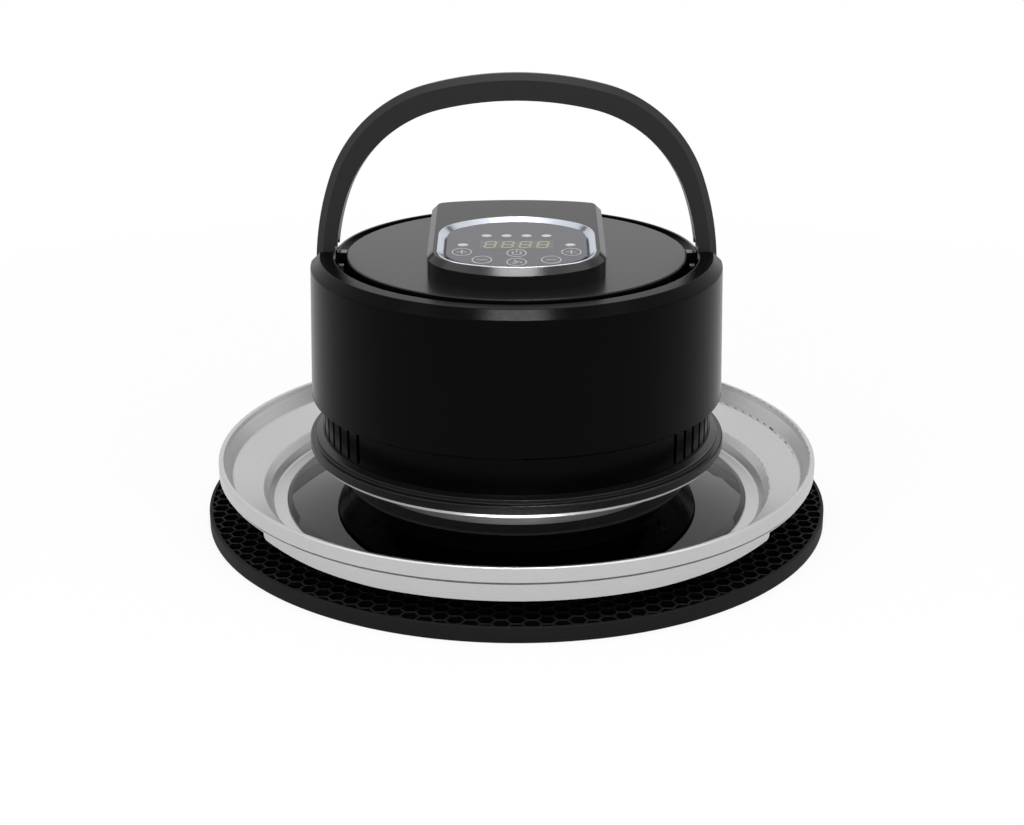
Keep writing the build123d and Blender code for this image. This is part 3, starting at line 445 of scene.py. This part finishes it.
@dataclass
class ControlPanel:
    """Print, digits and lamp lenses on the tinted panel of the pod."""

    slope: float = radians(6.446)       # how far the panel tips down to the front
    plate: float = 1.5 * MM             # the panel's thickness
    print_height: float = 0.08 * MM
    stroke: float = 0.56 * MM
    ring_radius: float = 5.7 * MM
    arc_step: float = radians(7.5)
    mark_length: float = 1.05           # of a plus or minus; this and the next five are in ring radii
    power_radius: float = 0.5
    stem_length: float = 0.5
    stem_middle: float = 0.42
    blade_middle: float = 0.3
    blade_radius: float = 0.26
    power_arc: tuple[float, float] = (radians(125.0), radians(290.0))
    blade_arc: float = radians(200.0)
    digit_height: float = 10.4 * MM
    digit_width: float = 7.0 * MM
    digit_pitch: float = 9.9 * MM
    digit_stroke: float = 1.25 * MM
    digit_gap: float = 0.15 * MM        # between the tips of two strokes
    digit_slant: float = radians(8.0)
    display_y: float = -38.2 * MM
    lens_width: float = 5.9 * MM
    lens_depth: float = 3.9 * MM
    lens_rise: float = 0.09             # height of a lens, as a share of its half width
    lens_root: float = 0.1              # share of its height that goes on into the panel
    lamps: tuple[tuple[float, float], ...] = ((-17.2, -24.1), (-5.75, -24.1), (5.7, -24.1), (17.15, -24.1),
                                              (-30.5, -38.3), (30.5, -38.3))
    keys: tuple[tuple[float, float, Icon], ...] = (
        (-30.8, -49.3, Icon.PLUS), (30.8, -49.3, Icon.PLUS), (-19.3, -61.0, Icon.MINUS),
        (19.3, -61.0, Icon.MINUS), (0.0, -50.9, Icon.POWER), (0.0, -64.3, Icon.FAN))

    def place(self, x: float, y: float) -> Matrix:
        """The place of a point on the panel's face, with Z square to that face.

        Args:
            x: Its distance to the right of the middle.
            y: Its distance behind the origin, as seen from above.

        Returns:
            The matrix that carries a flat shape onto the panel there.
        """
        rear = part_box("panel_glass")[1]
        height = rear.z - (rear.y - self.plate * sin(self.slope) - y) * tan(self.slope)
        return Matrix.Translation((x, y, height)) @ Matrix.Rotation(self.slope, 4, "X")

    def raised(self, bm: bmesh.types.BMesh, faces: list[bmesh.types.BMFace], height: float) -> None:
        """Gives flat faces a thickness, up from the panel.

        Args:
            bm: The bmesh that holds them.
            faces: The faces, flat on the panel and looking up.
            height: How thick they become.
        """
        before = set(bm.verts)
        solid = bmesh.ops.extrude_face_region(bm, geom=faces, use_keep_orig=True)["geom"]
        top = [part for part in solid if isinstance(part, bmesh.types.BMVert) and part not in before]
        up = Vector((0.0, -sin(self.slope), cos(self.slope))) * height
        bmesh.ops.translate(bm, verts=top, vec=up)

    def bar(self, bm: bmesh.types.BMesh, place: Matrix, size: tuple[float, float], turn: float = 0.0) -> None:
        """Adds a bar of print with its middle at a place.

        Args:
            bm: The bmesh that gets it.
            place: Where it lies.
            size: Its length along X and its width.
            turn: How far it is turned.
        """
        shape = place @ Matrix.Rotation(turn, 4, "Z") @ Matrix.Diagonal((size[0], size[1], 1.0, 1.0))
        grid = bmesh.ops.create_grid(bm, x_segments=1, y_segments=1, size=0.5, matrix=shape)
        self.raised(bm, [grid["verts"][0].link_faces[0]], self.print_height)

    def loop(self, bm: bmesh.types.BMesh, place: Matrix, radius: float, start: float, arc: float) -> None:
        """Adds a round line of print.

        Args:
            bm: The bmesh that gets it.
            place: Its middle.
            radius: Its outer radius.
            start: The angle where it starts.
            arc: The angle that it turns through.
        """
        whole = arc > 2 * pi - self.arc_step
        tilt = place @ Matrix.Rotation(start, 4, "Z")
        inner = bm.verts.new(tilt @ Vector((radius - self.stroke, 0.0, 0.0)))
        outer = bm.verts.new(tilt @ Vector((radius, 0.0, 0.0)))
        edge = bm.edges.new((inner, outer))
        axis = tilt.to_3x3() @ Vector((0.0, 0.0, 1.0))
        before = set(bm.faces)
        bmesh.ops.spin(bm, geom=[inner, outer, edge], cent=place.translation, axis=axis, angle=arc,
                       steps=int(arc / self.arc_step), use_merge=whole)
        self.raised(bm, [face for face in bm.faces if face not in before], self.print_height)

    def key(self, bm: bmesh.types.BMesh, x: float, y: float, icon: Icon) -> None:
        """Prints a touch key: a ring with its mark.

        Args:
            bm: The bmesh that gets it.
            x: Its distance to the right of the middle.
            y: Its distance behind the origin.
            icon: The mark inside the ring.
        """
        place = self.place(x, y)
        self.loop(bm, place, self.ring_radius, 0.0, 2 * pi)
        ring = self.ring_radius
        arm = ring * self.mark_length
        if icon in (Icon.PLUS, Icon.MINUS):
            self.bar(bm, place, (arm, self.stroke))
        if icon is Icon.PLUS:
            for side in (-1, 1):
                offset = Matrix.Translation((0.0, side * (arm + self.stroke) / 4, 0.0))
                self.bar(bm, place @ offset, (self.stroke, (arm - self.stroke) / 2))
        if icon is Icon.POWER:
            self.loop(bm, place, ring * self.power_radius, *self.power_arc)
            stem = Matrix.Translation((0.0, ring * self.stem_middle, 0.0))
            self.bar(bm, place @ stem, (self.stroke, ring * self.stem_length))
        if icon is Icon.FAN:
            outward = Matrix.Translation((ring * self.blade_middle, 0.0, 0.0))
            for blade in range(3):
                turn = Matrix.Rotation(pi / 2 + 2 * pi * blade / 3, 4, "Z")
                self.loop(bm, place @ turn @ outward, ring * self.blade_radius, 0.0, self.blade_arc)

    def segment(self, bm: bmesh.types.BMesh, place: Matrix, length: float, upright: bool) -> None:
        """Adds one pointed stroke of a digit.

        Args:
            bm: The bmesh that gets it.
            place: Its middle.
            length: Its length from point to point.
            upright: Whether it stands or lies.
        """
        half = self.digit_stroke / 2
        shape = bmesh.ops.create_grid(bm, x_segments=1, y_segments=1, size=1.0,
                                      matrix=Matrix.Diagonal((length / 2 - half, half, 1.0, 1.0)))
        face = shape["verts"][0].link_faces[0]
        ends = [edge for edge in face.edges if abs(edge.verts[0].co.x - edge.verts[1].co.x) < half]
        inner = bmesh.ops.subdivide_edges(bm, edges=ends, cuts=1)["geom_inner"]
        tips = [part for part in inner if isinstance(part, bmesh.types.BMVert)]
        for tip in tips:
            tip.co.x += half if tip.co.x > 0 else -half
        faces = list({part for tip in tips for part in tip.link_faces})
        corners = list({corner for part in faces for corner in part.verts})
        turn = Matrix.Rotation(pi / 2 if upright else 0.0, 4, "Z")
        bmesh.ops.transform(bm, matrix=place @ turn, verts=corners)
        self.raised(bm, faces, self.print_height)

    def digits(self) -> bmesh.types.BMesh:
        """Makes the four slanted digits of the display, with every stroke shown.

        Returns:
            The digits, as a bmesh.
        """
        bm = bmesh.new()
        lean = Matrix.Identity(4)
        lean[0][1] = tan(self.digit_slant)
        reach = self.digit_height / 2 - self.digit_stroke / 2
        across = self.digit_width - self.digit_stroke
        for digit in range(4):
            centre = self.place((digit - 1.5) * self.digit_pitch, self.display_y) @ lean
            for row in (-1, 0, 1):
                middle = centre @ Matrix.Translation((0.0, row * reach, 0.0))
                self.segment(bm, middle, across - self.digit_gap, False)
            for row in (-1, 1):
                for side in (-1, 1):
                    offset = Matrix.Translation((side * across / 2, row * reach / 2, 0.0))
                    self.segment(bm, centre @ offset, reach - self.digit_gap, True)
        return bm

    def window(self) -> bmesh.types.BMesh:
        """Makes the faint pale field behind the digits, which it passes by a stroke or two all round.

        Returns:
            The field, as a bmesh.
        """
        bm = bmesh.new()
        width = 3 * self.digit_pitch + self.digit_width + 4 * self.digit_stroke
        size = Matrix.Diagonal((width, self.digit_height + 2 * self.digit_stroke, 1.0, 1.0))
        grid = bmesh.ops.create_grid(bm, x_segments=1, y_segments=1, size=0.5,
                                     matrix=self.place(0.0, self.display_y) @ size)
        self.raised(bm, [grid["verts"][0].link_faces[0]], self.print_height / 2)
        return bm

    def lenses(self) -> bmesh.types.BMesh:
        """Makes the low oval lenses of the indicator lamps.

        Returns:
            The lenses, as a bmesh.
        """
        bm = bmesh.new()
        half = self.lens_width / 2
        size = Matrix.Diagonal((1.0, self.lens_depth / self.lens_width, self.lens_rise, 1.0))
        for x, y in self.lamps:
            ball = bmesh.ops.create_uvsphere(bm, u_segments=32, v_segments=16, radius=half)["verts"]
            below = [corner for corner in ball if corner.co.z < -self.lens_root * half]
            bmesh.ops.delete(bm, geom=below, context="VERTS")
            dome = [corner for corner in ball if corner.is_valid]
            bmesh.ops.transform(bm, matrix=self.place(x * MM, y * MM) @ size, verts=dome)
        bmesh.ops.holes_fill(bm, edges=[edge for edge in bm.edges if edge.is_boundary], sides=0)
        return bm

    def build(self) -> None:
        """Builds the print, the digits and the lenses on the head."""
        print_mesh = bmesh.new()
        for x, y, icon in self.keys:
            self.key(print_mesh, x * MM, y * MM, icon)
        for name, bm, finish, slot in (
                ("panel_print", print_mesh, PRINT, "panel_tint"),
                ("display_window", self.window(), WINDOW, "display"),
                ("display_digits", self.digits(), SEGMENT, "display"),
                ("lamp_lenses", self.lenses(), LENS, "lamp_lens")):
            bmesh.ops.recalc_face_normals(bm, faces=bm.faces)
            finished(name, bm, "head", finish.build())


# ------------------------------------------------------------------ studio
@dataclass(frozen=True)
class Lamp:
    """A soft lamp that faces the object: its place and size in metres, and its power in watts."""

    name: str
    place: tuple[float, float, float]
    size: tuple[float, float]
    power: float
    aim: tuple[float, float, float] = (0.0, 0.0, 0.1)

    def build(self) -> None:
        """Hangs the lamp and turns it to its aim."""
        data = bpy.data.lights.new(self.name, "AREA")
        data.shape = "RECTANGLE"
        data.size, data.size_y = self.size
        data.energy = self.power
        holder = bpy.data.objects.new(self.name, data)
        holder.location = self.place
        ray = Vector(self.aim) - Vector(self.place)
        holder.rotation_euler = ray.to_track_quat("-Z", "Y").to_euler()
        bpy.context.scene.collection.objects.link(holder)


@dataclass
class Studio:
    """Camera, pale floor, soft lamps and a white surround."""

    camera_place: tuple[float, float, float] = (0.0, -1.0477, 0.4442)
    pitch_down: float = radians(20.13)
    lens_mm: float = 64.46
    sensor_mm: float = 36.0
    shift: float = -0.0045
    far_clip: float = 30.0
    floor_radius: float = 6.0
    floor_drop: float = 0.2 * MM
    floor_paper: str = "#f4f4f4"
    floor_fade: tuple[float, float] = (0.25, 0.8)       # distances between which the floor turns white
    floor_share: tuple[float, float] = (0.84, 1.0)      # how white it is before and after them
    surround: float = 0.5                               # strength of the surround as a light
    lamps: tuple[Lamp, ...] = (Lamp("lamp_left", (-1.3, -0.7, 1.5), (1.2, 1.2), 5.0),
                               Lamp("lamp_right", (1.3, -0.7, 1.5), (1.2, 1.2), 5.0),
                               Lamp("lamp_top", (0.0, 0.5, 1.9), (1.4, 1.4), 3.0),
                               Lamp("lamp_front", (0.0, -0.55, 1.6), (0.6, 0.16), 12.0))

    def camera(self) -> None:
        """Places the camera and makes it the scene's."""
        data = bpy.data.cameras.new("camera")
        data.lens = self.lens_mm
        data.sensor_width = self.sensor_mm
        data.shift_x = self.shift
        data.clip_end = self.far_clip
        holder = bpy.data.objects.new("camera", data)
        holder.location = self.camera_place
        holder.rotation_euler = (pi / 2 - self.pitch_down, 0.0, 0.0)
        bpy.context.scene.collection.objects.link(holder)
        bpy.context.scene.camera = holder

    def floor(self) -> None:
        """Makes the floor, which shows white but keeps the object's shadow."""
        bm = bmesh.new()
        bmesh.ops.create_circle(bm, cap_ends=True, segments=64, radius=self.floor_radius)
        mesh = bpy.data.meshes.new("floor")
        bm.to_mesh(mesh)
        bm.free()
        mesh.materials.append(self.floor_finish())
        floor = bpy.data.objects.new("floor", mesh)
        floor.location = (0.0, 0.0, -self.floor_drop)
        bpy.context.scene.collection.objects.link(floor)

    def floor_finish(self) -> bpy.types.Material:
        """Makes white paper that glows a little for the camera alone, and more with the distance.

        Returns:
            The floor's material.
        """
        material = bpy.data.materials.new("floor_paper")
        material.use_nodes = True
        tree = material.node_tree
        tree.nodes.remove(tree.nodes["Principled BSDF"])
        paper = add_node(tree, "BsdfDiffuse", {"Color": linear(self.floor_paper)})
        glow = add_node(tree, "Emission", {"Color": linear("#ffffff"), "Strength": 1.0})
        place = add_node(tree, "TexCoord").outputs["Object"]
        away = add_node(tree, "VectorMath", {0: place}, operation="LENGTH")
        fade = add_node(tree, "MapRange", {"Value": away.outputs["Value"], "From Min": self.floor_fade[0],
                                           "From Max": self.floor_fade[1], "To Min": self.floor_share[0],
                                           "To Max": self.floor_share[1]})
        seen = add_node(tree, "LightPath").outputs["Is Camera Ray"]
        share = add_node(tree, "Math", {0: seen, 1: fade.outputs["Result"]}, operation="MULTIPLY")
        mixed = add_node(tree, "MixShader", {0: share.outputs["Value"], 1: paper.outputs["BSDF"],
                                             2: glow.outputs["Emission"]})
        tree.links.new(mixed.outputs["Shader"], tree.nodes["Material Output"].inputs["Surface"])
        return material

    def world(self) -> None:
        """Makes the surround: white where it is seen or mirrored, and softer as a light."""
        world = bpy.data.worlds.new("surround")
        world.use_nodes = True
        tree = world.node_tree
        path = add_node(tree, "LightPath")
        shown = path.outputs["Is Camera Ray"]
        for ray in ("Is Glossy Ray", "Is Transmission Ray"):
            both = add_node(tree, "Math", {0: shown, 1: path.outputs[ray]}, operation="MAXIMUM")
            shown = both.outputs["Value"]
        level = add_node(tree, "MapRange", {"Value": shown, "To Min": self.surround, "To Max": 1.0})
        back = tree.nodes["Background"]
        back.inputs["Color"].default_value = linear("#ffffff")
        tree.links.new(level.outputs["Result"], back.inputs["Strength"])
        bpy.context.scene.world = world

    def build(self) -> None:
        """Sets the whole studio up."""
        self.camera()
        self.floor()
        self.world()
        for lamp in self.lamps:
            lamp.build()
        bpy.context.scene.view_settings.view_transform = "Standard"


def main() -> None:
    """Builds the looks."""
    logging.basicConfig(level=logging.INFO, format="%(name)s: %(message)s")
    Studio().build()
    dress_nodes()
    HoneycombMat().build()
    ControlPanel().build()


if __name__ == "__main__":
    main()
